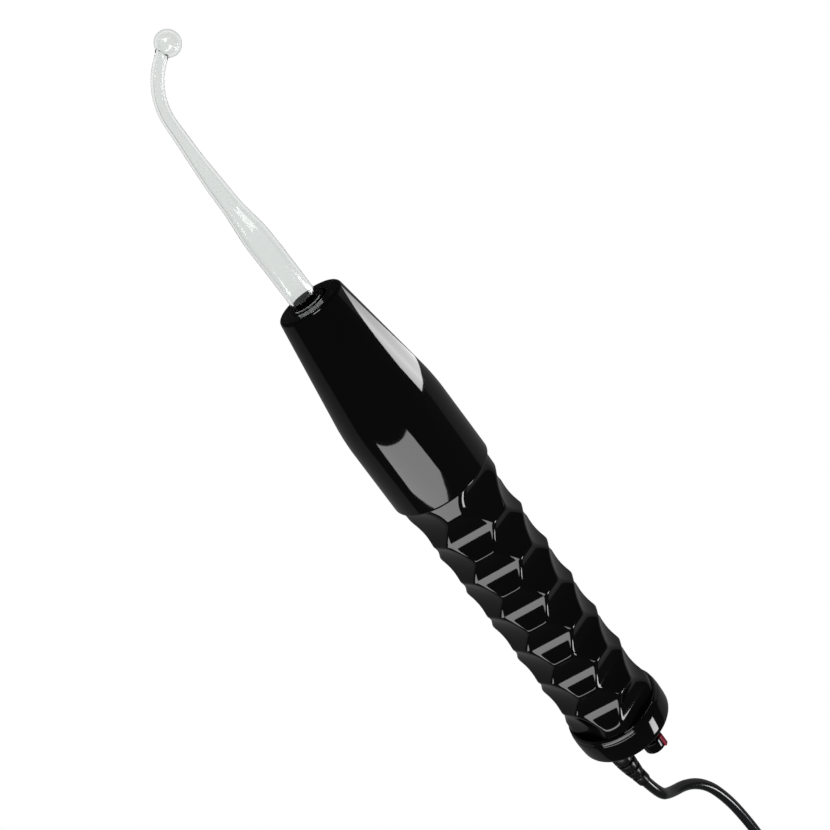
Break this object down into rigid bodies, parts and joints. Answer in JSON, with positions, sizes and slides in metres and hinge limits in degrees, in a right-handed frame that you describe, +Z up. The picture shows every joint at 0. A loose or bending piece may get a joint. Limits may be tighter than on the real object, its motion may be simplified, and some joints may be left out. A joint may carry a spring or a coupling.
{
  "type": "violet ray wand",
  "caption": "Hand-held high-frequency wand with tapered nose, scalloped grip, bent glass electrode, rear regulator knob and mains lead with coil and plug.",
  "frame": {"origin": "middle of the wand's box at the surface it lies on, the free lead, coil and plug left out", "axes": "+X from the glass tip to the lead's end of the wand, +Y to the side that the electrode's tip bends to, +Z up"},
  "size_m": [0.5685, 0.0866, 0.0464],
  "materials": {
    "handle_black": "glossy black moulded phenolic",
    "screw_steel": "plain steel",
    "fitting_black": "black moulding",
    "fibre_sleeve": "brown insulating tube",
    "cup_brass": "plain brass",
    "clear_glass": "clear blown glass",
    "ferrule_metal": "bright metal cap",
    "bobbin_fibre": "waxed fibre",
    "fine_wire": "waxed fine enamelled wire",
    "copper_wire": "enamelled copper wire",
    "board_fibre": "brown fibre board",
    "capacitor_case": "waxed paper case",
    "iron": "soft iron",
    "spring_steel": "bright spring steel",
    "contact_metal": "contact metal",
    "shaft_steel": "polished steel",
    "nut_metal": "plated brass",
    "knob_black": "glossy black",
    "pointer_red": "crimson inlay",
    "relief_black": "smooth black rubber",
    "cord_black": "glossy black rubber sheath",
    "lead_cores": "rubber insulated cores",
    "plug_black": "black moulding",
    "pin_metal": "plain brass",
    "tie_strap": "woven black strap"
  },
  "bodies": {
    "handle": {"nose_cone": "handle_black", "grip": "handle_black", "end_cap": "handle_black", "shell_screws": "screw_steel", "socket_collar": "fitting_black", "socket_sleeve": "fibre_sleeve", "contact_cup": "cup_brass", "coil_bobbin": "bobbin_fibre", "secondary_winding": "fine_wire", "primary_winding": "copper_wire", "chassis": "board_fibre", "chassis_screws": "screw_steel", "capacitor": "capacitor_case", "magnet_yoke": "iron", "magnet_core": "iron", "magnet_bobbin": "bobbin_fibre", "magnet_winding": "copper_wire", "contact_post": "cup_brass", "shaft_bush": "nut_metal", "bush_nut": "nut_metal", "strain_relief": "relief_black", "cord_entry": "cord_black", "cord_clamp": "fitting_black", "terminal_block": "fitting_black", "supply_leads": "lead_cores", "link_wires": "lead_cores", "cord": "cord_black", "cord_coil": "cord_black", "cord_tail": "cord_black", "plug_body": "plug_black", "plug_pins": "pin_metal", "coil_tie": "tie_strap"},
    "electrode": {"glass_envelope": "clear_glass", "electrode_ferrule": "ferrule_metal"},
    "regulator": {"knob": "knob_black", "knob_pointer": "pointer_red", "knob_shaft": "shaft_steel", "contact_screw": "cup_brass", "drive_pin": "spring_steel"},
    "vibrator": {"reed": "spring_steel", "reed_armature": "iron", "reed_contact": "contact_metal"}
  },
  "joints": [
    {"name": "electrode_pull", "type": "slide", "parent": "handle", "child": "electrode", "axis": [-1, 0, 0], "range_m": [0, 0.034]},
    {"name": "knob_turn", "type": "hinge", "parent": "handle", "child": "regulator", "pos_m": [0.18062, 0.0054, 0.0287], "axis": [-1, 0, 0], "range_deg": [0, 270]},
    {"name": "reed_swing", "type": "hinge", "parent": "handle", "child": "vibrator", "pos_m": [0.12982, 0.0054, 0.0148], "axis": [0, -1, 0], "range_deg": [0, 4.5], "stiffness_Nm_per_rad": 0.3}
  ]
}
